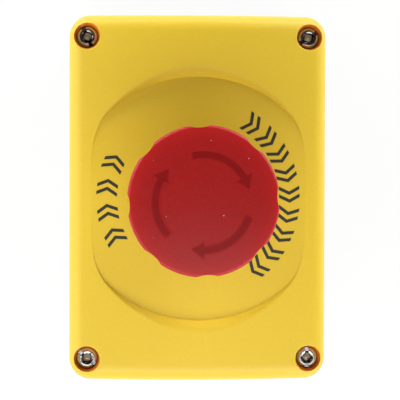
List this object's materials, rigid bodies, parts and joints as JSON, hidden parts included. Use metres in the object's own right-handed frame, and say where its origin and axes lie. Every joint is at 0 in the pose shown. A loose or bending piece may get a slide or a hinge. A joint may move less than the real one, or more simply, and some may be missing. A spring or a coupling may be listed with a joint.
{
  "type": "emergency stop button",
  "caption": "Wall-mounted emergency stop: red push-to-lock, twist-to-release mushroom head in a round recess of a yellow cover, on a grey base with contact blocks inside.",
  "frame": {"origin": "centre of the base's back face, on the surface it is fixed to", "axes": "+Z out of the wall along the button's axis, +Y along the long side, +X along the short side"},
  "size_m": [0.072, 0.102, 0.092],
  "materials": {
    "base_plastic": "light grey moulded plastic, fine matt grain",
    "cover_plastic": "yellow moulded plastic, satin",
    "cap_plastic": "red moulded plastic, satin, with darker moulded arrows",
    "operator_plastic": "black glass-filled plastic",
    "seal_rubber": "black elastomer",
    "screw_steel": "zinc-plated steel",
    "spring_steel": "drawn spring wire",
    "stem_steel": "turned steel",
    "contact_brass": "stamped brass with silver-alloy tips",
    "carrier_plastic": "dark grey glass-filled plastic",
    "block_plastic": "grey moulded plastic",
    "plunger_plastic": "red moulded plastic",
    "plate_plastic": "ivory acetal"
  },
  "bodies": {
    "enclosure": {"rear_base": "base_plastic", "front_cover": "cover_plastic", "cover_gasket": "seal_rubber", "cover_screws": "screw_steel", "operator_body": "operator_plastic", "panel_seal": "seal_rubber", "lock_nut": "carrier_plastic", "return_spring": "spring_steel", "contact_carrier": "carrier_plastic", "carrier_screw": "screw_steel", "contact_housing_left": "block_plastic", "contact_spring_left": "spring_steel", "fixed_contacts_left": "contact_brass", "terminal_screws_left": "screw_steel", "wire_clamps_left": "screw_steel", "contact_housing_right": "block_plastic", "contact_spring_right": "spring_steel", "fixed_contacts_right": "contact_brass", "terminal_screws_right": "screw_steel", "wire_clamps_right": "screw_steel"},
    "push_carriage": {"push_plate": "plate_plastic"},
    "head": {"mushroom_cap": "cap_plastic", "stem": "stem_steel", "cap_seal": "seal_rubber", "latch_collar": "stem_steel", "latch_spring": "spring_steel", "stem_clip": "spring_steel"},
    "latch_left": {"latch_pin_left": "stem_steel"},
    "latch_right": {"latch_pin_right": "stem_steel"},
    "contact_left": {"contact_plunger_left": "plunger_plastic", "contact_bridge_left": "contact_brass"},
    "contact_right": {"contact_plunger_right": "plunger_plastic", "contact_bridge_right": "contact_brass"}
  },
  "joints": [
    {"name": "press", "type": "slide", "parent": "enclosure", "child": "push_carriage", "axis": [0, 0, -1], "range_m": [0, 0.006], "stiffness_N_per_m": 2500, "springref_m": -0.005, "deforming": ["return_spring"]},
    {"name": "twist", "type": "hinge", "parent": "push_carriage", "child": "head", "pos_m": [0, 0, 0.06], "axis": [0, 0, 1], "range_deg": [-45, 0], "stiffness_Nm_per_rad": 0.1},
    {"name": "latch_left_slide", "type": "slide", "parent": "head", "child": "latch_left", "axis": [-1, 0, 0], "range_m": [0, 0.001], "deforming": ["latch_spring"]},
    {"name": "latch_right_slide", "type": "slide", "parent": "head", "child": "latch_right", "axis": [1, 0, 0], "range_m": [0, 0.001]},
    {"name": "contact_left_slide", "type": "slide", "parent": "enclosure", "child": "contact_left", "axis": [0, 0, -1], "range_m": [0, 0.006], "deforming": ["contact_spring_left"]},
    {"name": "contact_right_slide", "type": "slide", "parent": "enclosure", "child": "contact_right", "axis": [0, 0, -1], "range_m": [0, 0.006], "deforming": ["contact_spring_right"]}
  ],
  "couplings": [
    {"joint": "latch_left_slide", "follows": "press", "ratio": 0.1666},
    {"joint": "latch_right_slide", "follows": "press", "ratio": 0.1666},
    {"joint": "contact_left_slide", "follows": "press", "ratio": 1},
    {"joint": "contact_right_slide", "follows": "press", "ratio": 1}
  ]
}
